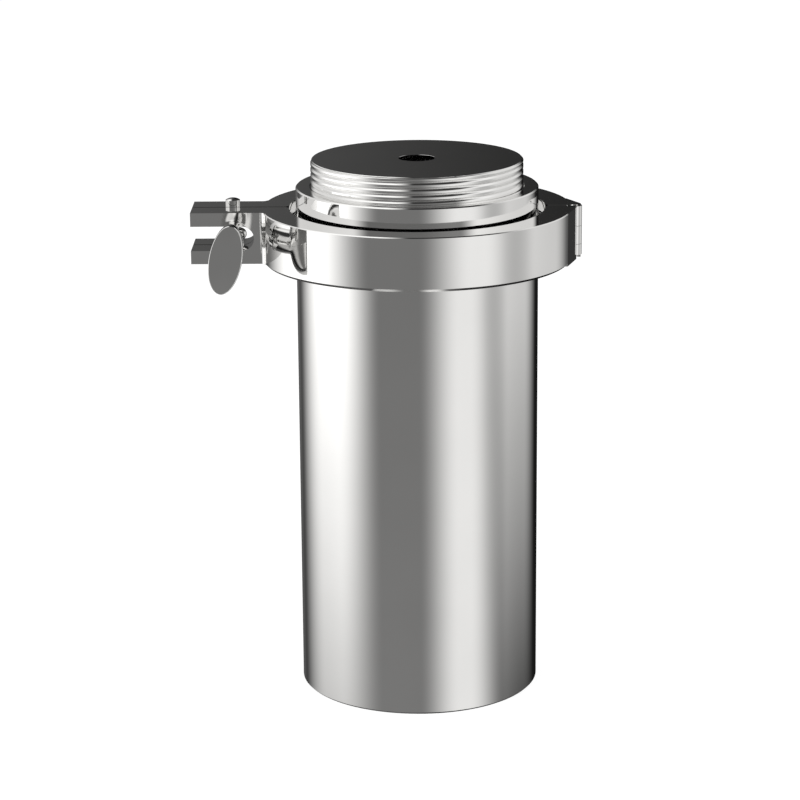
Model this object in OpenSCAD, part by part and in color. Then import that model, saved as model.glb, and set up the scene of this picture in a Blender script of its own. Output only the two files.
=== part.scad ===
// Hydrothermal reactor: a steel vessel with a thick liner, closed by a threaded
// head ring and a compression screw, and held together by a hinged V-clamp.
// Origin: centre of the vessel's underside. +Z up, clamp knob towards -Y, hinge at +X.

/* [Vessel] */
// Outside diameter of the vessel and of the head ring
vessel_d = 80; // [70:1:96]
// Thickness of the vessel's side wall
vessel_wall = 7.5; // [6:0.5:8]
// Thickness of the vessel's floor
vessel_floor = 14.5; // [8:0.5:20]
// Height of the flange joint above the ground
joint_h = 154.65; // [128:1:190]
// Diameter of the hole in the floor that the liner is pushed out through
eject_d = 16; // [8:1:24]
// Chamfer on the outside edge of the floor
base_chamfer = 0.6; // [0.3:0.1:1.5]

/* [Flanges] */
// How far the flanges stand out from the vessel's side
flange_reach = 5.5; // [4.5:0.25:6]
// Thickness of a flange at its rim
flange_rim_t = 2.9; // [2:0.1:3.5]
// Slope of the flanges' clamped faces
flange_taper = 20; // [15:1:24]
// Thickness of the flat gasket between the flanges
gasket_t = 1; // [0.5:0.1:1.5]

/* [Liner] */
// Diameter of the liner's cavity
liner_bore_d = 46; // [36:1:50]
// Thickness of the liner's floor
liner_floor = 9; // [6:0.5:14]
// Thickness of the round pad under the liner
pad_t = 3; // [2:0.5:5]
// How far the lid's plug goes into the liner
plug_depth = 8; // [5:0.5:14]
// Thickness of the lid's rim
lid_rim_t = 4.1; // [3:0.1:5]

/* [Head ring and screw] */
// Height of the head ring above the flange joint
head_h = 15.85; // [14.5:0.25:20]
// How far the compression thread is larger than the vessel's bore, on each side
thread_step = 2.5; // [1.5:0.1:3]
// Pitch of the compression thread
screw_pitch = 2; // [1.5:0.5:3]
// How far the screw stands out of the head ring
screw_proud = 8.95; // [6:0.25:14]
// Diameter of the hole in the middle of the screw
screw_bore_d = 12; // [8:0.5:14]
// Thickness of the plate between the screw and the liner's lid
plate_t = 3.5; // [3:0.25:5]
// Height of the boss that keeps the plate on the screw
boss_h = 3; // [2.5:0.25:4]

/* [Clamp] */
// Height of the clamp
clamp_h = 17.5; // [16.5:0.25:22]
// Wall of the clamp outside its groove
clamp_wall = 4.7; // [3.5:0.1:7]
// Gap between the clamp's bore and the vessel's side
clamp_bore_gap = 2.3; // [1.5:0.1:2.8]
// Gap between the two closed clamp halves
seam_gap = 0.6; // [0.2:0.1:1]
// Length of the lugs beyond the clamp's outside
lug_reach = 23; // [20:0.5:28]
// Depth of one lug
lug_t = 10; // [9:0.25:12]
// Height of the slot that the bolt swings through
slot_h = 8.1; // [7:0.1:9]
// Height of the slot's middle above the flange joint
slot_rise = 0.2; // [-0.5:0.1:0.5]
// Radius of the corner between a lug and the clamp
lug_fillet = 1.5; // [0.8:0.1:2.5]

/* [Hinge] */
// Outside diameter of the hinge knuckles
knuckle_d = 5; // [4.4:0.1:5.6]
// Diameter of the hinge pin
hinge_pin_d = 2.5; // [2:0.1:2.8]
// Height of the middle knuckle
mid_knuckle_h = 6; // [5:0.25:7]
// Height of the knuckles' foot above the clamp's underside
knuckle_foot = 1.1; // [0.5:0.1:2]

/* [Swing bolt and knob] */
// Thread diameter of the swing bolt
bolt_d = 5; // [4:0.5:6]
// Gap between the bolt and the lower edge of its slot
bolt_sit = 0.35; // [0.3:0.05:1]
// Outside diameter of the bolt's eye
eye_d = 8.8; // [8.4:0.1:9.6]
// Height of the bolt's eye, which is also the roundness of its rim
eye_h = 3.8; // [3:0.1:4]
// Diameter of the pin that the bolt swings on
swing_pin_d = 4; // [3:0.25:4.5]
// Diameter of that pin's head
swing_pin_head_d = 4.8; // [4.6:0.1:6]
// Height of that pin's head
swing_pin_head_h = 2.5; // [1.5:0.1:3]
// Distance of that pin from the clamp's seam
swing_pin_y = 3.8; // [3.2:0.1:5]
// Thickness of the washer under the knob
washer_t = 1.2; // [0.8:0.1:2]
// Diameter of the knob's round hub
hub_d = 8.2; // [8:0.1:9.5]
// Length of the hub's plain part
hub_len = 13.2; // [10:0.2:16]
// Height of the knob's oval face
knob_h = 22.6; // [18:0.2:28]
// Width of the knob's oval face
knob_w = 10.2; // [9.4:0.2:14]
// Depth of the knob's swelling head
knob_depth = 13.5; // [10:0.1:16]
// Fullness of the knob's swelling sides, 2 is round and more is squarer
knob_fullness = 2.6; // [2:0.1:3.5]
// Rounded rim of the knob's oval face
knob_rim = 0.35; // [0.2:0.05:0.8]
// Turn of the oval face at rest
knob_turn = 11; // [-45:1:45]

/* [Fits] */
// Radial clearance of running and threaded fits
run_gap = 0.06; // [0.02:0.01:0.1]
// Side clearance of parts that drop into the vessel
drop_gap = 0.3; // [0.3:0.05:0.5]
// Clearance between the clamp's groove and the flanges
groove_gap = 0.3; // [0.25:0.05:0.4]

/* [Hidden] */
$fn = 96;

vessel_r = vessel_d / 2;
bore_r = vessel_r - vessel_wall;
drop_r = bore_r - drop_gap;
flange_r = vessel_r + flange_reach;
joint_low = joint_h - gasket_t / 2;
joint_high = joint_h + gasket_t / 2;
edge_break = 0.4;

liner_z = vessel_floor + pad_t;
liner_r = liner_bore_d / 2;
plug_gap = 0.2;
lid_top = joint_low + lid_rim_t;
plate_top = lid_top + plate_t;
face_gap = 0.05;

screw_r = bore_r + thread_step;
screw_z = plate_top + face_gap;
head_top = joint_h + head_h;
screw_top = head_top + screw_proud;
boss_r = screw_bore_d / 2 + 3;
snap_wire_r = 0.6;
snap_z = plate_top + boss_h / 2;
thread_chamfer = 0.25 * screw_pitch;

root_overlap = 1;
groove_root_r = flange_r + 1;
clamp_r = groove_root_r + clamp_wall;
clamp_bore_r = vessel_r + clamp_bore_gap;
clamp_z0 = joint_h - clamp_h / 2;
clamp_z1 = joint_h + clamp_h / 2;
clamp_top_chamfer = 0.3;
clamp_bottom_chamfer = 0.9;

lug_end_x = -clamp_r - lug_reach;
lug_root_x = -groove_root_r - root_overlap;
lug_foot_chamfer = 0.5;
slot_z = joint_h + slot_rise;
slot_end_r = slot_h / 2;
slot_root = 6.3;
slot_end_x = -clamp_r - slot_root;
notch_w = 1.6;
notch_l = 1.2;
seam_chamfer = 0.35;

hinge_x = clamp_r + 0.7;
knuckle_r = knuckle_d / 2;
relief_r = knuckle_r + 0.3;
knuckle_gap = 0.1;
knuckle_drop = 0.95;
mid_knuckle_z = joint_h - knuckle_drop;
pin_recess = 0.2;
boss_root_x = groove_root_r + root_overlap;
flare_tip_y = 3.1;
rear_flare_x = hinge_x + knuckle_r - 0.3;
rear_flare_y = 11.5;
front_flare_x = hinge_x + 0.6;
front_flare_y = clamp_r * sin(tangent_angle([front_flare_x, flare_tip_y], clamp_r));

swing_inset = 3.5;
swing_x = slot_end_x - swing_inset;
bolt_r = bolt_d / 2;
bolt_z = slot_z - slot_h / 2 + bolt_sit + bolt_r;
eye_r = eye_d / 2;
neck_r = 0.7 * bolt_r;
washer_r = hub_d / 2 + 0.2;
washer_y = -lug_t - face_gap;
hub_y = washer_y - washer_t - face_gap;
knob_face_y = hub_y - hub_len - knob_depth;
knob_bore_end_y = knob_face_y + 2;
bolt_end_y = knob_bore_end_y + 1;
knob_rings = 9;

// Half height of the clamp's groove at radius r
function groove_half(r) =
    gasket_t / 2 + flange_rim_t + (flange_r - r) * tan(flange_taper) + groove_gap / cos(flange_taper);

// Angle at which a line from point p touches a circle of radius r round the origin
function tangent_angle(p, r) = atan2(p[1], p[0]) + acos(r / norm(p));

// Height of a flange's slope above its rim where it meets the side
slope_h = flange_reach * tan(flange_taper);

module steel() {
    color([0.74, 0.74, 0.73]) children();
}

module bright_steel() {
    color([0.84, 0.84, 0.83]) children();
}

module fluoropolymer() {
    color([0.95, 0.95, 0.93]) children();
}

// Everything on the rear (side = 1) or front (side = -1) of the clamp's seam
module half_space(side) {
    y0 = side > 0 ? seam_gap / 2 : -seam_gap / 2 - 2 * clamp_r;
    translate([-2 * clamp_r, y0, clamp_z0 - 10])
        cube([4 * clamp_r, 2 * clamp_r, clamp_h + 20]);
}

module vessel() {
    steel() rotate_extrude()
        polygon([
            [eject_d / 2, 0],
            [vessel_r - base_chamfer, 0],
            [vessel_r, base_chamfer],
            [vessel_r, joint_low - flange_rim_t - slope_h],
            [flange_r, joint_low - flange_rim_t],
            [flange_r, joint_low - edge_break],
            [flange_r - edge_break, joint_low],
            [bore_r, joint_low],
            [bore_r, vessel_floor],
            [eject_d / 2, vessel_floor]
        ]);
}

module bottom_pad() {
    steel() translate([0, 0, vessel_floor])
        cylinder(r = drop_r, h = pad_t);
}

module liner_cup() {
    inner_round = 3;
    fluoropolymer() rotate_extrude()
        difference() {
            translate([0, liner_z])
                square([drop_r, joint_low - liner_z]);
            translate([0, liner_z + liner_floor + inner_round])
                square([liner_r, joint_low]);
            translate([0, liner_z + liner_floor])
                square([liner_r - inner_round, joint_low]);
            translate([liner_r - inner_round, liner_z + liner_floor + inner_round])
                circle(r = inner_round);
        }
}

module liner_lid() {
    fluoropolymer() rotate_extrude()
        polygon([
            [0, joint_low - plug_depth],
            [liner_r - plug_gap - 1, joint_low - plug_depth],
            [liner_r - plug_gap, joint_low - plug_depth + 1],
            [liner_r - plug_gap, joint_low],
            [drop_r, joint_low],
            [drop_r, lid_top],
            [0, lid_top]
        ]);
}

module flange_gasket() {
    gasket_in = bore_r + 1;
    gasket_out = flange_r - 1.5;
    fluoropolymer() translate([0, 0, joint_low])
        difference() {
            cylinder(r = gasket_out, h = gasket_t);
            translate([0, 0, -1]) cylinder(r = gasket_in, h = gasket_t + 2);
        }
}

module head_ring() {
    thread_z = plate_top - 0.6;
    steel() rotate_extrude()
        polygon([
            [bore_r, joint_high],
            [flange_r - edge_break, joint_high],
            [flange_r, joint_high + edge_break],
            [flange_r, joint_high + flange_rim_t],
            [vessel_r, joint_high + flange_rim_t + slope_h],
            [vessel_r, head_top - edge_break],
            [vessel_r - edge_break, head_top],
            [screw_r + run_gap + edge_break, head_top],
            [screw_r + run_gap, head_top - edge_break],
            [screw_r + run_gap, thread_z],
            [bore_r, thread_z]
        ]);
}

module pressure_plate() {
    bright_steel() difference() {
        union() {
            translate([0, 0, lid_top]) cylinder(r = drop_r, h = plate_t);
            translate([0, 0, lid_top]) cylinder(r = boss_r, h = plate_t + boss_h);
        }
        snap_groove(snap_wire_r + face_gap);
    }
}

// Round groove that the snap ring lies in
module snap_groove(wire_r) {
    translate([0, 0, snap_z]) rotate_extrude()
        translate([boss_r, 0]) circle(r = wire_r, $fn = 32);
}

module plate_snap_ring() {
    gap_w = 3;
    bright_steel() difference() {
        snap_groove(snap_wire_r);
        translate([0, -gap_w / 2, snap_z - 2]) cube([2 * boss_r, gap_w, 4]);
    }
}

module compression_screw() {
    bright_steel() difference() {
        rotate_extrude()
            polygon([
                [screw_bore_d / 2, screw_z],
                [screw_r - thread_chamfer, screw_z],
                [screw_r, screw_z + thread_chamfer],
                [screw_r, screw_top - thread_chamfer],
                [screw_r - thread_chamfer, screw_top],
                [screw_bore_d / 2 + edge_break, screw_top],
                [screw_bore_d / 2, screw_top - edge_break]
            ]);
        translate([0, 0, screw_z - 1])
            cylinder(r = boss_r + run_gap, h = boss_h + 1 + face_gap);
        snap_groove(snap_wire_r + 2 * face_gap);
    }
}

// The whole clamp ring, with its V groove, before it is cut in two
module clamp_ring() {
    rotate_extrude()
        polygon([
            [clamp_bore_r, clamp_z0],
            [clamp_r - clamp_bottom_chamfer, clamp_z0],
            [clamp_r, clamp_z0 + clamp_bottom_chamfer],
            [clamp_r, clamp_z1 - clamp_top_chamfer],
            [clamp_r - clamp_top_chamfer, clamp_z1],
            [clamp_bore_r, clamp_z1],
            [clamp_bore_r, joint_h + groove_half(clamp_bore_r)],
            [groove_root_r, joint_h + groove_half(groove_root_r)],
            [groove_root_r, joint_h - groove_half(groove_root_r)],
            [clamp_bore_r, joint_h - groove_half(clamp_bore_r)]
        ]);
}

// Plan of the rear lug, with the rounded corner where it leaves the clamp
module lug_plan() {
    cy = lug_t + lug_fillet;
    cx = -sqrt(pow(clamp_r + lug_fillet, 2) - pow(cy, 2));
    shrink = clamp_r / (clamp_r + lug_fillet);
    translate([lug_end_x, seam_gap / 2])
        square([lug_root_x - lug_end_x, lug_t - seam_gap / 2]);
    difference() {
        polygon([[cx, lug_t], [cx * shrink, cy * shrink], [lug_root_x, cy - 1.5 * lug_fillet]]);
        translate([cx, cy]) circle(r = lug_fillet);
    }
}

// One lug: a fork of two prongs that the bolt swings between
module lug() {
    difference() {
        translate([0, 0, clamp_z0 + lug_foot_chamfer]) linear_extrude(clamp_h - lug_foot_chamfer) lug_plan();
        translate([lug_end_x - 1, -1, slot_z - slot_h / 2])
            cube([slot_end_x - lug_end_x + 1, 2 * lug_t, slot_h]);
        translate([slot_end_x, -1, slot_z])
            rotate([-90, 0, 0]) cylinder(r = slot_end_r, h = 2 * lug_t);
    }
}

// Flare that carries the knuckles, from its tip to where it meets the clamp's outside
module hinge_flare(tip_x, start_y) {
    translate([0, 0, clamp_z0]) linear_extrude(clamp_h)
        polygon([
            [boss_root_x, seam_gap / 2],
            [tip_x, seam_gap / 2],
            [tip_x, flare_tip_y],
            [clamp_r * cos(asin(start_y / clamp_r)), start_y],
            [boss_root_x, start_y]
        ]);
}

module at_hinge(z, h, r) {
    translate([hinge_x, 0, z]) cylinder(r = r, h = h);
}

// Notches at the bore end of the seam faces
module seam_notches() {
    for (x = [-clamp_bore_r, clamp_bore_r])
        translate([x, 0, clamp_z0 - 1]) linear_extrude(clamp_h + 2)
            polygon([
                [-sign(x), -notch_w],
                [0, -notch_w],
                [sign(x) * notch_l, 0],
                [0, notch_w],
                [-sign(x), notch_w]
            ]);
}

// Chamfer along the rear half's top edge, between the bore and the knuckles
module hinge_side_chamfer() {
    side = seam_chamfer * sqrt(2);
    translate([0, seam_gap / 2, clamp_z1]) rotate([45, 0, 0])
        translate([0, -side / 2, -side / 2]) cube([hinge_x - knuckle_r, side, side]);
}

// Both pins are pressed into this half
module clamp_rear_half() {
    mid_low = mid_knuckle_z - mid_knuckle_h / 2 - knuckle_gap;
    mid_gap_h = mid_knuckle_h + 2 * knuckle_gap;
    bright_steel() difference() {
        union() {
            intersection() {
                clamp_ring();
                half_space(1);
            }
            lug();
            hinge_flare(rear_flare_x, rear_flare_y);
            at_hinge(clamp_z0 + knuckle_foot, clamp_h - knuckle_foot, knuckle_r);
        }
        seam_notches();
        hinge_side_chamfer();
        at_hinge(mid_low, mid_gap_h, relief_r);
        translate([hinge_x - relief_r, -relief_r, mid_low])
            cube([2 * relief_r, relief_r + seam_gap / 2, mid_gap_h]);
        at_hinge(clamp_z0 - 1, clamp_h + 2, hinge_pin_d / 2);
        translate([swing_x, swing_pin_y, clamp_z0 - 1])
            cylinder(r = swing_pin_d / 2, h = clamp_h + 2);
    }
}

module clamp_front_half() {
    mid_low = mid_knuckle_z - mid_knuckle_h / 2;
    bright_steel() difference() {
        union() {
            difference() {
                union() {
                    intersection() {
                        clamp_ring();
                        half_space(-1);
                    }
                    mirror([0, 1, 0]) lug();
                    mirror([0, 1, 0]) hinge_flare(front_flare_x, front_flare_y);
                }
                at_hinge(clamp_z0 - 1, clamp_h + 2, relief_r);
            }
            at_hinge(mid_low, mid_knuckle_h, knuckle_r);
            translate([hinge_x - relief_r - 0.5, -relief_r, mid_low])
                cube([relief_r + 1, relief_r - seam_gap / 2, mid_knuckle_h]);
        }
        seam_notches();
        at_hinge(clamp_z0 - 1, clamp_h + 2, hinge_pin_d / 2 + run_gap);
    }
}

module hinge_pin() {
    pin_h = clamp_h - knuckle_foot - 2 * pin_recess;
    steel() at_hinge(clamp_z0 + knuckle_foot + pin_recess, pin_h, hinge_pin_d / 2);
}

module swing_pin() {
    dome_r = 4.4;
    head_r = swing_pin_head_d / 2;
    dome_h = dome_r - sqrt(pow(dome_r, 2) - pow(head_r, 2));
    foot_h = 0.8;
    bright_steel() translate([swing_x, swing_pin_y, 0]) {
        translate([0, 0, clamp_z0 + lug_foot_chamfer - foot_h])
            cylinder(r = head_r, h = foot_h);
        translate([0, 0, clamp_z0])
            cylinder(r = swing_pin_d / 2, h = clamp_h);
        intersection() {
            translate([0, 0, clamp_z1]) cylinder(r = head_r, h = swing_pin_head_h);
            translate([0, 0, clamp_z1 + swing_pin_head_h - dome_r]) sphere(r = dome_r);
        }
    }
}

// The eye's rim is round, and a neck joins it to the threaded shank
module swing_bolt() {
    rim_r = eye_h / 2;
    neck_start = -swing_pin_y + swing_pin_d / 2 + 1;
    shank_start = eye_r - swing_pin_y + 1;
    bright_steel() difference() {
        union() {
            translate([swing_x, swing_pin_y, bolt_z]) rotate_extrude() {
                translate([0, -rim_r]) square([eye_r - rim_r, eye_h]);
                translate([eye_r - rim_r, 0]) circle(r = rim_r);
            }
            translate([swing_x, 0, bolt_z]) rotate([90, 0, 0]) rotate_extrude()
                polygon([
                    [0, neck_start],
                    [neck_r, neck_start],
                    [neck_r, shank_start - bolt_r + neck_r],
                    [bolt_r, shank_start],
                    [bolt_r, -bolt_end_y - edge_break],
                    [bolt_r - edge_break, -bolt_end_y],
                    [0, -bolt_end_y]
                ]);
        }
        translate([swing_x, swing_pin_y, bolt_z - eye_h])
            cylinder(r = swing_pin_d / 2 + run_gap, h = 2 * eye_h);
    }
}

module bolt_washer() {
    steel() translate([swing_x, washer_y, bolt_z]) rotate([90, 0, 0])
        difference() {
            cylinder(r = washer_r, h = washer_t);
            translate([0, 0, -1]) cylinder(r = bolt_r + run_gap, h = washer_t + 2);
        }
}

// Oval slice of the knob's head at depth z, drawn smaller by inset
module knob_slice(z, scale_xy, inset) {
    slice_t = 0.02;
    half_w = scale_xy * knob_w / 2 - inset;
    half_h = scale_xy * knob_h / 2 - inset;
    translate([0, 0, z - slice_t]) linear_extrude(slice_t)
        polygon([for (a = [0:7.5:352.5]) [half_w * cos(a), half_h * sin(a)]]);
}

// Half width of the head, as a share of its face's, at the share u of its depth
function knob_swell(u) = pow(1 - pow(1 - u, knob_fullness), 1 / knob_fullness);

module knob_head() {
    body_depth = knob_depth - knob_rim;
    hull() {
        for (k = [0:knob_rings]) {
            u = 0.02 + 0.98 * pow(k / knob_rings, 2);
            knob_slice(u * body_depth, knob_swell(u), 0);
        }
        for (a = [0:30:90]) knob_slice(knob_depth - knob_rim * (1 - sin(a)), 1, knob_rim * (1 - cos(a)));
    }
}

module clamp_knob() {
    bright_steel() translate([swing_x, 0, bolt_z]) rotate([90, 0, 0]) difference() {
        union() {
            translate([0, 0, -hub_y]) rotate_extrude()
                polygon([
                    [0, 0],
                    [hub_d / 2 - edge_break, 0],
                    [hub_d / 2, edge_break],
                    [hub_d / 2, hub_len + knob_depth / 3],
                    [0, hub_len + knob_depth / 3]
                ]);
            translate([0, 0, -hub_y + hub_len]) rotate([0, 0, -knob_turn]) knob_head();
        }
        translate([0, 0, -hub_y - 1]) cylinder(r = bolt_r + run_gap, h = hub_y + 1 - knob_bore_end_y);
    }
}

vessel();
bottom_pad();
liner_cup();
liner_lid();
flange_gasket();
head_ring();
pressure_plate();
plate_snap_ring();
compression_screw();
clamp_rear_half();
clamp_front_half();
hinge_pin();
swing_bolt();
swing_pin();
bolt_washer();
clamp_knob();
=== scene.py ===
"""Looks of the hydrothermal reactor: polished steel, real threads, a smooth oval knob and a white studio."""
import math

import bmesh
import bpy
from mathutils import Matrix, Vector


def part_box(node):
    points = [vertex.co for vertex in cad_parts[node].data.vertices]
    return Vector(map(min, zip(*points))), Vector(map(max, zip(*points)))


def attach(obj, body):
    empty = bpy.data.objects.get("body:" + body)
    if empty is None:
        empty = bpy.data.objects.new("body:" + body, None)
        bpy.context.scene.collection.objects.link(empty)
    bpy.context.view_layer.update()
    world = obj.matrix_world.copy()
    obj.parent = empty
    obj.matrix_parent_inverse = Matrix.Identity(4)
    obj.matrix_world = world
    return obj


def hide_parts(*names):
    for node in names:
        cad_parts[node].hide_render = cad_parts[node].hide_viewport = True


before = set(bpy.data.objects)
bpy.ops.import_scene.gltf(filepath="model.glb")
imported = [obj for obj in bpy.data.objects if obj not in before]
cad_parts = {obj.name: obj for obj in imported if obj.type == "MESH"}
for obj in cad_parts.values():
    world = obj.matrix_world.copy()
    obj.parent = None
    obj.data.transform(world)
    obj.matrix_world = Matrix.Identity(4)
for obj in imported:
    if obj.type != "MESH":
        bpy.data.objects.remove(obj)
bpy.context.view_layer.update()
MM = 0.001

# ---------------------------------------------------------------- sizes taken from the frame

SCREW_LOW, SCREW_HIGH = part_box("compression_screw")
BOLT_LOW, BOLT_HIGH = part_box("swing_bolt")
KNOB_LOW, KNOB_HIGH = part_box("clamp_knob")
WASHER_LOW, WASHER_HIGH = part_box("bolt_washer")
PIN_LOW, PIN_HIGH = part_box("swing_pin")

SCREW_R = (SCREW_HIGH[0] - SCREW_LOW[0]) / 2
SCREW_PITCH = 2 * MM
SCREW_CHAMFER = 0.5 * MM
SCREW_GROOVE = 0.45 * MM
SCREW_GROOVE_HALF = 0.3
THREAD_START = 0.03
GROOVE_STEEPNESS = 1.1
THREAD_RUN_OUT = 0.5
SCREW_HOLE_R = 6 * MM
SCREW_RECESS_R = 9.06 * MM
SCREW_RECESS_H = 3.05 * MM
HOLE_BREAK = 0.05 * MM
EDGE_BREAK = 0.4 * MM

BOLT_X = (WASHER_LOW[0] + WASHER_HIGH[0]) / 2
BOLT_Z = (WASHER_LOW[2] + WASHER_HIGH[2]) / 2
BOLT_R = 2.5 * MM
BOLT_PITCH = 0.8 * MM
BOLT_GROOVE = 0.45 * MM
BOLT_GROOVE_HALF = 0.45
BOLT_LENGTH = -BOLT_LOW[1]
NECK_R = 0.7 * BOLT_R
NECK_START = -0.8 * MM
SHANK_START = 1.6 * MM
PIN_X = (PIN_LOW[0] + PIN_HIGH[0]) / 2
PIN_Y = (PIN_LOW[1] + PIN_HIGH[1]) / 2
PIN_R = 2 * MM
PIN_HEAD_R = 2.4 * MM
PIN_HEAD_H = 2.5 * MM
PIN_FOOT_H = 0.8 * MM
PIN_DOME_R = 4.4 * MM
EYE_R = 4.4 * MM
EYE_RIM_R = 1.9 * MM
EYE_BORE_R = 2.06 * MM

KNOB_BACK = -KNOB_HIGH[1]
KNOB_FACE = -KNOB_LOW[1]
KNOB_FACE_WALL = 2 * MM
KNOB_BORE_END = KNOB_FACE - KNOB_FACE_WALL
THREAD_GAP = 0.06 * MM
KNOB_BORE_R = BOLT_R + THREAD_GAP
KNOB_HEAD_DEPTH = 13.5 * MM
KNOB_HALF_W = 5.3 * MM
KNOB_HALF_H = 11.3 * MM
KNOB_TURN = math.radians(11)
KNOB_FULLNESS = 2.6
KNOB_RIM = 0.35 * MM
HUB_R = 4.1 * MM
HUB_FADE = 0.6
HUB_BLEND = 10
HUB_PLAIN_END = 2 * MM

SCREW_SEGMENTS = 288
BOLT_SEGMENTS = 48
EYE_SEGMENTS = 64
PIN_SEGMENTS = 96
KNOB_SEGMENTS = 128
KNOB_STEPS = 40
SCREW_THREAD_STEPS = 22
BOLT_THREAD_STEPS = 10
EYE_RIM_STEPS = 20
DOME_STEPS = 12
SHARP_EDGE = math.radians(40)
SAME_POINT = 1e-7

# ---------------------------------------------------------------- camera

CAMERA_DISTANCE = 897.8 * MM
CAMERA_HEIGHT = 341.65 * MM
# The camera's angles are in radians
CAMERA_PITCH = 0.2659
CAMERA_PAN = -0.0068
CAMERA_ROLL = -0.0075
LENS_MM = 124.6
SENSOR_MM = 36


def make_camera():
    """Camera on the -Y side, looking slightly down, as in the photograph."""
    forward = Vector((
        math.sin(CAMERA_PAN) * math.cos(CAMERA_PITCH),
        math.cos(CAMERA_PAN) * math.cos(CAMERA_PITCH),
        -math.sin(CAMERA_PITCH),
    ))
    right = Vector((math.cos(CAMERA_PAN), -math.sin(CAMERA_PAN), 0))
    up = right.cross(forward)
    rolled_right = math.cos(CAMERA_ROLL) * right + math.sin(CAMERA_ROLL) * up
    rolled_up = -math.sin(CAMERA_ROLL) * right + math.cos(CAMERA_ROLL) * up
    turn = Matrix((rolled_right, rolled_up, -forward)).transposed().to_4x4()
    place = Matrix.Translation((0, -CAMERA_DISTANCE, CAMERA_HEIGHT))
    data = bpy.data.cameras.new("camera")
    data.lens = LENS_MM
    data.sensor_width = SENSOR_MM
    camera = bpy.data.objects.new("camera", data)
    camera.matrix_world = place @ turn
    bpy.context.collection.objects.link(camera)
    bpy.context.scene.camera = camera


# ---------------------------------------------------------------- studio

# Soft panels round the object that only reflections see: azimuth of the middle in degrees, with 0 on the
# camera's side and 90 at +X, half width, soft edge, and brightness above eye level, below it and on the table
PANELS = [
    (-95, 10, 50, 0, 1.4, 0.55),
    (45, 5, 40, 0.1, 0.75, 0.7),
    (110, 12, 32, 0, 0.65, 0.05),
    (0, 50, 80, 0.15, 0.18, 0.2),
    (-105, 40, 20, 0.8, 0, 0),
    (100, 40, 20, 0.8, 0, 0),
    (-165, 5, 17, 0.1, 0.1, 0.08),
]
ROOM_LEVEL = 0.01
HORIZON_START = -0.17
HORIZON_END = 0.05
TABLE_START = -0.225
TABLE_END = -0.37
# Two softboxes overhead with a dark gap between them, by the sideways part of the direction
SOFTBOX_LEVEL = 1.15
LEFT_SOFTBOX = (-0.05, -0.3)
RIGHT_SOFTBOX = (0.5, 0.75)
GAP_LEVEL = 0.04
OVERHEAD_START = 0.55
OVERHEAD_END = 0.8
WARMTH = (1, 0.995, 0.985)
WHITE = (1, 1, 1)
ROOM_LIGHT = 0.75
FLOOR_HALF = 3.0
FLOOR_TONE = (0.92, 0.92, 0.92)
FLOOR_GLOW = 1.16
FLOOR_SHADOW = 0.3
LAMP_TARGET = Vector((0, 0, 0.08))
LAMP_SIZE = 1.2
KEY_LAMP_PLACE = (-0.9, -0.8, 1.3)
KEY_LAMP_POWER = 10
FILL_LAMP_PLACE = (1.1, -0.4, 1.0)
FILL_LAMP_POWER = 5


def node(tree, kind, **values):
    """A new node with some of its settings."""
    made = tree.nodes.new(kind)
    for name, value in values.items():
        setattr(made, name, value)
    return made


def math_node(tree, operation, *values):
    """A sum or function of numbers and sockets."""
    made = node(tree, "ShaderNodeMath", operation=operation)
    for socket, value in zip(made.inputs, values):
        if isinstance(value, (int, float)):
            socket.default_value = value
        else:
            tree.links.new(value, socket)
    return made.outputs[0]


def between(tree, share, low, high):
    """Value that runs from low to high as the share runs from 0 to 1."""
    return math_node(tree, "MULTIPLY_ADD", math_node(tree, "SUBTRACT", high, low), share, low)


def map_range(tree, value, low, high, to_low=0.0, to_high=1.0, kind="LINEAR"):
    """A value carried from one range to another and held at its ends."""
    made = node(tree, "ShaderNodeMapRange", interpolation_type=kind)
    for name, number in (("From Min", low), ("From Max", high), ("To Min", to_low), ("To Max", to_high)):
        made.inputs[name].default_value = number
    tree.links.new(value, made.inputs["Value"])
    return made.outputs["Result"]


def mix_colour(tree, factor, a, b):
    """Colour between a and b, each a tuple or a socket."""
    made = node(tree, "ShaderNodeMix", data_type="RGBA")
    tree.links.new(factor, made.inputs["Factor"])
    for name, value in (("A", a), ("B", b)):
        if isinstance(value, tuple):
            made.inputs[name].default_value = (*value, 1)
        else:
            tree.links.new(value, made.inputs[name])
    return made.outputs["Result"]


def mix_shader(tree, factor, a, b):
    """Shader a where the factor is 0 and b where it is 1."""
    made = node(tree, "ShaderNodeMixShader")
    tree.links.new(factor, made.inputs[0])
    tree.links.new(a, made.inputs[1])
    tree.links.new(b, made.inputs[2])
    return made.outputs[0]


def panel_shares(tree, azimuth):
    """How much of each panel is seen at an azimuth, 1 on the panel and 0 past its soft edge."""
    shares = []
    for middle, half_width, soft_edge, *_ in PANELS:
        offset = math_node(tree, "WRAP", math_node(tree, "SUBTRACT", azimuth, middle), 180, -180)
        away = math_node(tree, "ABSOLUTE", offset)
        shares.append(map_range(tree, away, half_width, half_width + soft_edge, 1, 0, "SMOOTHSTEP"))
    return shares


def studio_wall(tree, shares, levels):
    """Brightness of the studio's wall in one band of height."""
    total = ROOM_LEVEL
    for share, level in zip(shares, levels):
        if level:
            total = math_node(tree, "MULTIPLY_ADD", share, level, total)
    return total


def background(tree, colour, strength):
    """World light of one colour, its strength a number or a socket."""
    made = node(tree, "ShaderNodeBackground")
    made.inputs["Color"].default_value = (*colour, 1)
    if isinstance(strength, (int, float)):
        made.inputs["Strength"].default_value = strength
    else:
        tree.links.new(strength, made.inputs["Strength"])
    return made.outputs[0]


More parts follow.
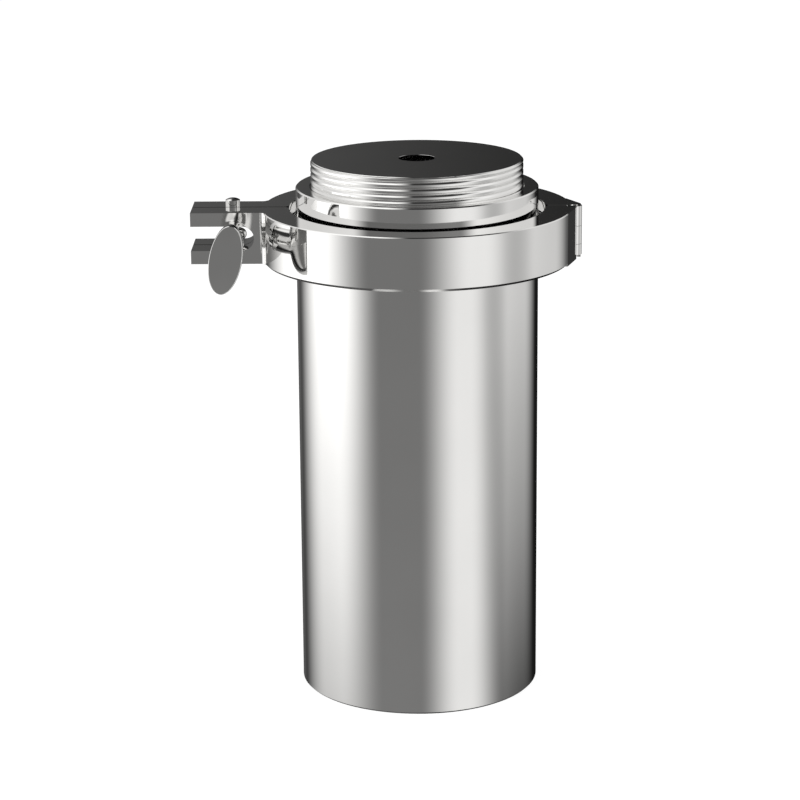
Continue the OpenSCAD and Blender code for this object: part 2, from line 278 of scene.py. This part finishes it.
def make_world():
    """White for the camera, soft white for light, and a studio of pale and dark panels in reflections."""
    world = bpy.data.worlds.new("studio")
    bpy.context.scene.world = world
    world.use_nodes = True
    tree = world.node_tree
    tree.nodes.clear()
    split = node(tree, "ShaderNodeSeparateXYZ")
    tree.links.new(node(tree, "ShaderNodeTexCoord").outputs["Generated"], split.inputs[0])
    x, y, z = split.outputs
    turn = math_node(tree, "ARCTAN2", x, math_node(tree, "MULTIPLY", y, -1.0))
    shares = panel_shares(tree, math_node(tree, "DEGREES", turn))
    _, _, _, *bands = zip(*PANELS)
    above, level, below = [studio_wall(tree, shares, levels) for levels in bands]
    table = map_range(tree, z, TABLE_END, TABLE_START)
    horizon = map_range(tree, z, HORIZON_START, HORIZON_END)
    walls = between(tree, horizon, between(tree, table, below, level), above)
    left = map_range(tree, x, *reversed(LEFT_SOFTBOX), 1, 0, "SMOOTHSTEP")
    right = map_range(tree, x, *RIGHT_SOFTBOX, 0, 1, "SMOOTHSTEP")
    boxes = math_node(tree, "MULTIPLY", math_node(tree, "ADD", left, right), SOFTBOX_LEVEL)
    ceiling = math_node(tree, "ADD", boxes, GAP_LEVEL)
    overhead = map_range(tree, z, OVERHEAD_START, OVERHEAD_END, kind="SMOOTHSTEP")
    studio = between(tree, overhead, walls, ceiling)
    rays = node(tree, "ShaderNodeLightPath")
    lit = background(tree, WHITE, ROOM_LIGHT)
    mirrored = mix_shader(tree, rays.outputs["Is Glossy Ray"], lit, background(tree, WARMTH, studio))
    seen = mix_shader(tree, rays.outputs["Is Camera Ray"], mirrored, background(tree, WHITE, 1.0))
    out = node(tree, "ShaderNodeOutputWorld")
    tree.links.new(seen, out.inputs[0])


def make_floor():
    """Plain white floor that keeps a faint shadow; reflections see the studio through it."""
    half = FLOOR_HALF
    corners = [(-half, -half, 0), (half, -half, 0), (half, half, 0), (-half, half, 0)]
    mesh = bpy.data.meshes.new("floor")
    mesh.from_pydata(corners, [], [(0, 1, 2, 3)])
    floor = bpy.data.objects.new("floor", mesh)
    bpy.context.collection.objects.link(floor)
    material = bpy.data.materials.new("floor_white")
    material.use_nodes = True
    tree = material.node_tree
    tree.nodes.clear()
    rays = node(tree, "ShaderNodeLightPath")
    diffuse = node(tree, "ShaderNodeBsdfDiffuse")
    diffuse.inputs["Color"].default_value = (*FLOOR_TONE, 1)
    glow = node(tree, "ShaderNodeEmission")
    glow.inputs["Strength"].default_value = FLOOR_GLOW
    soft = node(tree, "ShaderNodeMixShader")
    soft.inputs[0].default_value = FLOOR_SHADOW
    tree.links.new(glow.outputs[0], soft.inputs[1])
    tree.links.new(diffuse.outputs[0], soft.inputs[2])
    camera = mix_shader(tree, rays.outputs["Is Camera Ray"], diffuse.outputs[0], soft.outputs[0])
    clear = node(tree, "ShaderNodeBsdfTransparent")
    glossy = mix_shader(tree, rays.outputs["Is Glossy Ray"], camera, clear.outputs[0])
    out = node(tree, "ShaderNodeOutputMaterial")
    tree.links.new(glossy, out.inputs[0])
    mesh.materials.append(material)


def make_lamp(name, place, power):
    """Round soft lamp that looks at the vessel's middle and isn't mirrored in the steel."""
    data = bpy.data.lights.new(name, "AREA")
    data.shape = "DISK"
    data.size = LAMP_SIZE
    data.energy = power
    lamp = bpy.data.objects.new(name, data)
    lamp.location = place
    lamp.rotation_euler = (LAMP_TARGET - Vector(place)).to_track_quat("-Z", "Y").to_euler()
    lamp.visible_glossy = False
    bpy.context.collection.objects.link(lamp)


# ---------------------------------------------------------------- materials

STEEL_TONE = (0.865, 0.862, 0.855)
SMALL_STEEL_TONE = (0.87, 0.868, 0.86)
INNER_STEEL_TONE = (0.80, 0.798, 0.79)
# Noise scales are spots to the metre
CLOUD_SCALE = 24
CLOUD_RANGE = (0.35, 0.65)
SMEAR_SCALE = 40
SMEAR_RANGE = (0.3, 0.7)
SMEAR_SMOOTHEST = 0.7
SMEAR_ROUGHEST = 1.4
MACHINING_SCALE = 2600
MACHINING_HEIGHT = 0.02 * MM
GRAIN_STRETCH = 0.06
CLOUD_DULLNESS = 0.965
PTFE_LIGHT = (0.88, 0.88, 0.86)
PTFE_DARK = (0.82, 0.82, 0.79)
PTFE_TINT_SCALE = 90
PTFE_SMEAR_SCALE = 60
PTFE_RING_SCALE = 1500
PTFE_RING_HEIGHT = 0.03 * MM
PTFE_RING_STRENGTH = 0.2
PTFE_ROUGHNESS = (0.36, 0.48)
PTFE_GLOW = 0.15
PTFE_GLOW_DEPTH = 3 * MM


def new_material(name):
    """A material with its tree, its Principled shader and the object coordinates."""
    material = bpy.data.materials.new(name)
    material.use_nodes = True
    tree = material.node_tree
    shader = next(n for n in tree.nodes if n.type == "BSDF_PRINCIPLED")
    return material, tree, shader, node(tree, "ShaderNodeTexCoord").outputs["Object"]


def noise(tree, place, scale, detail=2.0):
    """Noise of a number of spots to the metre."""
    made = node(tree, "ShaderNodeTexNoise")
    made.inputs["Scale"].default_value = scale
    made.inputs["Detail"].default_value = detail
    tree.links.new(place, made.inputs["Vector"])
    return made.outputs["Fac"]


def bump(tree, shader, height, strength, distance):
    """Gives the shader the relief of a height."""
    made = node(tree, "ShaderNodeBump")
    made.inputs["Strength"].default_value = strength
    made.inputs["Distance"].default_value = distance
    tree.links.new(height, made.inputs["Height"])
    tree.links.new(made.outputs[0], shader.inputs["Normal"])


def steel(name, tone, roughness, line_depth, turned):
    """Stainless steel with faint machining lines: rings round the Z axis if turned, else along X."""
    material, tree, shader, place = new_material(name)
    shader.inputs["Metallic"].default_value = 1.0
    cloud = noise(tree, place, CLOUD_SCALE, 3)
    dull = tuple(CLOUD_DULLNESS * share for share in tone)
    colour = mix_colour(tree, map_range(tree, cloud, *CLOUD_RANGE), tone, dull)
    tree.links.new(colour, shader.inputs["Base Color"])
    split = node(tree, "ShaderNodeSeparateXYZ")
    tree.links.new(place, split.inputs[0])
    x, y, z = split.outputs
    lines = node(tree, "ShaderNodeCombineXYZ")
    if turned:
        squares = [math_node(tree, "MULTIPLY", side, side) for side in (x, y)]
        radius = math_node(tree, "SQRT", math_node(tree, "ADD", *squares))
        tree.links.new(radius, lines.inputs[0])
    else:
        tree.links.new(math_node(tree, "MULTIPLY", x, GRAIN_STRETCH), lines.inputs[0])
        tree.links.new(y, lines.inputs[1])
    tree.links.new(z, lines.inputs[2])
    machining = noise(tree, lines.outputs[0], MACHINING_SCALE, 3)
    bump(tree, shader, machining, line_depth, MACHINING_HEIGHT)
    smears = noise(tree, place, SMEAR_SCALE, 4)
    rough = map_range(tree, smears, *SMEAR_RANGE, SMEAR_SMOOTHEST * roughness, SMEAR_ROUGHEST * roughness)
    tree.links.new(rough, shader.inputs["Roughness"])
    return material


def fluoropolymer():
    """Machined white fluoropolymer: waxy, with faint lathe rings."""
    material, tree, shader, place = new_material("ptfe")
    tint = mix_colour(tree, noise(tree, place, PTFE_TINT_SCALE), PTFE_DARK, PTFE_LIGHT)
    tree.links.new(tint, shader.inputs["Base Color"])
    rough = map_range(tree, noise(tree, place, PTFE_SMEAR_SCALE, 4), *SMEAR_RANGE, *PTFE_ROUGHNESS)
    tree.links.new(rough, shader.inputs["Roughness"])
    shader.inputs["Subsurface Weight"].default_value = PTFE_GLOW
    shader.inputs["Subsurface Scale"].default_value = PTFE_GLOW_DEPTH
    split = node(tree, "ShaderNodeSeparateXYZ")
    tree.links.new(place, split.inputs[0])
    rings = node(tree, "ShaderNodeCombineXYZ")
    tree.links.new(split.outputs[2], rings.inputs[2])
    ring_height = noise(tree, rings.outputs[0], PTFE_RING_SCALE)
    bump(tree, shader, ring_height, PTFE_RING_STRENGTH, PTFE_RING_HEIGHT)
    return material


def paint(name, material):
    """Gives a CAD node its material and leaves its mesh alone."""
    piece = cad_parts[name]
    if not piece.data.materials:
        piece.data.materials.append(material)
    for slot in piece.material_slots:
        slot.material = material


# ---------------------------------------------------------------- turned forms

def groove(phase, half_width):
    """Depth of a thread's V groove, 0 to 1, at a phase of the pitch; the groove is centred on 0.

    Its half width is a share of the pitch, and its bottom is cut slightly flat.
    """
    away = abs(phase - round(phase)) / half_width
    return min(1, max(0, GROOVE_STEEPNESS * (1 - away)))


def ring_faces(count, segments, closed=False):
    """Faces between rings of points, and from the last ring to the first if the form closes."""
    faces = []
    for row in range(count if closed else count - 1):
        low, high = row * segments, (row + 1) % count * segments
        for k in range(segments):
            after = (k + 1) % segments
            faces.append((low + k, low + after, high + after, high + k))
    return faces


def turned(rows, segments, pitch=0.0, depth=0.0, half_width=0.0, start=0.0, closed=False):
    """Form turned round Z from rows of (radius, z, threaded); a threaded row carries a right-hand thread."""
    vertices = []
    for radius, z, threaded in rows:
        for k in range(segments):
            cut = depth * groove(z / pitch - k / segments - start, half_width) if threaded else 0
            angle = math.tau * k / segments
            vertices.append(((radius - cut) * math.cos(angle), (radius - cut) * math.sin(angle), z))
    return vertices, ring_faces(len(rows), segments, closed)


def plain(profile):
    """Rows without a thread, from points of (radius, z)."""
    return [(radius, z, False) for radius, z in profile]


def threaded_rows(radius, low, high, pitch, chamfer, steps):
    """Rows of a thread between two heights, so many to a pitch, run out under the chamfer at each end."""
    count = round((high - low) / pitch * steps)
    rows = [(radius - chamfer, low, False)]
    for step in range(1, count):
        z = low + (high - low) * step / count
        edge = min(z - low, high - z)
        rows.append((min(radius, radius - chamfer + edge), z, edge > chamfer * THREAD_RUN_OUT))
    rows.append((radius - chamfer, high, False))
    return rows


def arc(centre, radius, start, end, steps):
    """Points of a round edge between two angles in degrees."""
    angles = [math.radians(start + (end - start) * step / steps) for step in range(steps + 1)]
    return [(centre[0] + radius * math.cos(a), centre[1] + radius * math.sin(a)) for a in angles]


def mesh_object(name, vertices, faces, material):
    """A new object in the scene, cleaned and smooth between its sharp edges."""
    mesh = bpy.data.meshes.new(name)
    mesh.from_pydata(vertices, [], faces)
    made = bpy.data.objects.new(name, mesh)
    bpy.context.collection.objects.link(made)
    mesh.materials.append(material)
    clean(mesh)
    return made


def clean(mesh):
    """Joins doubled points, turns faces outward and marks the sharp edges."""
    work = bmesh.new()
    work.from_mesh(mesh)
    bmesh.ops.remove_doubles(work, verts=work.verts, dist=SAME_POINT)
    bmesh.ops.dissolve_degenerate(work, edges=work.edges, dist=SAME_POINT)
    bmesh.ops.recalc_face_normals(work, faces=work.faces)
    for face in work.faces:
        face.smooth = True
    for edge in work.edges:
        edge.smooth = len(edge.link_faces) != 2 or edge.calc_face_angle(0) < SHARP_EDGE
    work.to_mesh(mesh)
    work.free()


def place_along_bolt(piece):
    """Turns a form made round Z to the bolt's axis, with +Z towards the knob's face."""
    to_axis = Matrix.Translation((BOLT_X, 0, BOLT_Z)) @ Matrix.Rotation(math.pi / 2, 4, "X")
    piece.data.transform(to_axis)


# ---------------------------------------------------------------- pieces

def compression_screw(material):
    """M70x2 screw with V grooves, its plain hole and the recess for the plate's boss."""
    low, high = SCREW_LOW[2], SCREW_HIGH[2]
    rows = threaded_rows(SCREW_R, low, high, SCREW_PITCH, SCREW_CHAMFER, SCREW_THREAD_STEPS)
    inside = [
        (SCREW_HOLE_R + HOLE_BREAK, high),
        (SCREW_HOLE_R, high - HOLE_BREAK),
        (SCREW_HOLE_R, low + SCREW_RECESS_H),
        (SCREW_RECESS_R, low + SCREW_RECESS_H),
        (SCREW_RECESS_R, low),
    ]
    rows += plain(inside)
    thread = (SCREW_PITCH, SCREW_GROOVE, SCREW_GROOVE_HALF, THREAD_START)
    form = turned(rows, SCREW_SEGMENTS, *thread, closed=True)
    piece = mesh_object("compression_screw_threaded", *form, material)
    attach(piece, "screw")
    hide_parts("compression_screw")


def swing_bolt(material):
    """Eye bolt: an eye with a round rim, a neck and an M5x0.8 thread."""
    rows = plain([(0, NECK_START), (NECK_R, NECK_START), (NECK_R, SHANK_START - BOLT_R + NECK_R)])
    rows += threaded_rows(BOLT_R, SHANK_START, BOLT_LENGTH, BOLT_PITCH, EDGE_BREAK, BOLT_THREAD_STEPS)
    rows.append((0, BOLT_LENGTH, False))
    form = turned(rows, BOLT_SEGMENTS, BOLT_PITCH, BOLT_GROOVE, BOLT_GROOVE_HALF)
    piece = mesh_object("swing_bolt_threaded", *form, material)
    place_along_bolt(piece)
    rim = arc((EYE_R - EYE_RIM_R, 0), EYE_RIM_R, -90, 90, EYE_RIM_STEPS)
    rim += [(EYE_BORE_R, EYE_RIM_R), (EYE_BORE_R, -EYE_RIM_R)]
    eye = mesh_object("eye", *turned(plain(rim), EYE_SEGMENTS, closed=True), material)
    eye.data.transform(Matrix.Translation((BOLT_X, PIN_Y, BOLT_Z)))
    join(piece, eye)
    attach(piece, "bolt")
    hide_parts("swing_bolt")


def swing_pin(material):
    """Pin of the swing bolt, with its low domed head on the rear lug and its foot under it."""
    low, high = PIN_LOW[2], PIN_HIGH[2]
    profile = [
        (0, low),
        (PIN_HEAD_R, low),
        (PIN_HEAD_R, low + PIN_FOOT_H),
        (PIN_R, low + PIN_FOOT_H),
        (PIN_R, high - PIN_HEAD_H),
        (PIN_HEAD_R, high - PIN_HEAD_H),
    ]
    rim = math.degrees(math.acos(PIN_HEAD_R / PIN_DOME_R))
    profile += arc((0, high - PIN_DOME_R), PIN_DOME_R, rim, 90, DOME_STEPS)
    piece = mesh_object("swing_pin_smooth", *turned(plain(profile), PIN_SEGMENTS), material)
    piece.data.transform(Matrix.Translation((PIN_X, PIN_Y, 0)))
    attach(piece, "base")
    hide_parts("swing_pin")


def join(piece, other):
    """Unites two closed forms into the first one's mesh."""
    union = piece.modifiers.new("union", "BOOLEAN")
    union.operation = "UNION"
    union.object = other
    whole = piece.evaluated_get(bpy.context.evaluated_depsgraph_get())
    mesh = bpy.data.meshes.new_from_object(whole)
    piece.modifiers.clear()
    piece.data = mesh
    clean(mesh)
    bpy.data.objects.remove(other)


def knob_swell(u):
    """Half width of the knob's head, as a share of its face's, at the share u of its depth."""
    return (1 - (1 - u) ** KNOB_FULLNESS) ** (1 / KNOB_FULLNESS)


def knob_outline(angle, share, inset, hub_r):
    """Radius of the head's oval at an angle, blended with the round hub that runs into it."""
    half_w, half_h = share * KNOB_HALF_W - inset, share * KNOB_HALF_H - inset
    own = angle - math.pi / 2 + KNOB_TURN
    if share <= 0:
        return hub_r
    oval = half_w * half_h / math.hypot(half_h * math.sin(own), half_w * math.cos(own))
    return (oval ** HUB_BLEND + hub_r ** HUB_BLEND) ** (1 / HUB_BLEND)


def clamp_knob(material):
    """Knob with a round hub that swells into an oval head with a thin rounded rim."""
    segments = KNOB_SEGMENTS
    head_start = KNOB_FACE - KNOB_HEAD_DEPTH
    body_depth = KNOB_HEAD_DEPTH - KNOB_RIM
    rows = [
        (KNOB_BORE_END, lambda a: 0.0),
        (KNOB_BORE_END, lambda a: KNOB_BORE_R),
        (KNOB_BACK, lambda a: KNOB_BORE_R),
        (KNOB_BACK, lambda a: HUB_R - EDGE_BREAK),
        (KNOB_BACK + EDGE_BREAK, lambda a: HUB_R),
        (head_start - HUB_PLAIN_END, lambda a: HUB_R),
    ]
    for step in range(KNOB_STEPS + 1):
        u = (step / KNOB_STEPS) ** 2
        share = knob_swell(u)
        hub = HUB_R * math.sqrt(max(0.0, 1 - (u / HUB_FADE) ** 2))
        z = head_start + u * body_depth
        rows.append((z, lambda a, share=share, hub=hub: knob_outline(a, share, 0, hub)))
    for degrees in range(10, 91, 10):
        sink = KNOB_RIM * (1 - math.sin(math.radians(degrees)))
        inset = KNOB_RIM * (1 - math.cos(math.radians(degrees)))
        rows.append((KNOB_FACE - sink, lambda a, inset=inset: knob_outline(a, 1, inset, 0)))
    rows.append((KNOB_FACE, lambda a: 0.0))
    vertices = []
    for z, radius_at in rows:
        for k in range(segments):
            angle = math.tau * k / segments
            radius = radius_at(angle)
            vertices.append((radius * math.cos(angle), radius * math.sin(angle), z))
    piece = mesh_object("clamp_knob_smooth", vertices, ring_faces(len(rows), segments), material)
    place_along_bolt(piece)
    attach(piece, "knob")
    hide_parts("clamp_knob")


# ---------------------------------------------------------------- scene

make_camera()
make_world()
make_floor()
make_lamp("key_lamp", KEY_LAMP_PLACE, KEY_LAMP_POWER)
make_lamp("fill_lamp", FILL_LAMP_PLACE, FILL_LAMP_POWER)

VESSEL_STEEL = steel("polished_vessel_steel", STEEL_TONE, roughness=0.045, line_depth=0.1, turned=True)
CLAMP_STEEL = steel("polished_clamp_steel", STEEL_TONE, roughness=0.04, line_depth=0.05, turned=False)
SMALL_STEEL = steel("polished_small_steel", SMALL_STEEL_TONE, roughness=0.03, line_depth=0.025, turned=True)
INNER_STEEL = steel("turned_inner_steel", INNER_STEEL_TONE, roughness=0.14, line_depth=0.3, turned=True)
PTFE = fluoropolymer()

for name in ("vessel", "head_ring", "compression_screw"):
    paint(name, VESSEL_STEEL)
for name in ("clamp_rear_half", "clamp_front_half"):
    paint(name, CLAMP_STEEL)
for name in ("hinge_pin", "swing_pin", "swing_bolt", "bolt_washer", "clamp_knob"):
    paint(name, SMALL_STEEL)
for name in ("bottom_pad", "pressure_plate", "plate_snap_ring"):
    paint(name, INNER_STEEL)
for name in ("liner_cup", "liner_lid", "flange_gasket"):
    paint(name, PTFE)

compression_screw(VESSEL_STEEL)
swing_bolt(SMALL_STEEL)
swing_pin(SMALL_STEEL)
clamp_knob(SMALL_STEEL)

bpy.context.scene.view_settings.view_transform = "Standard"
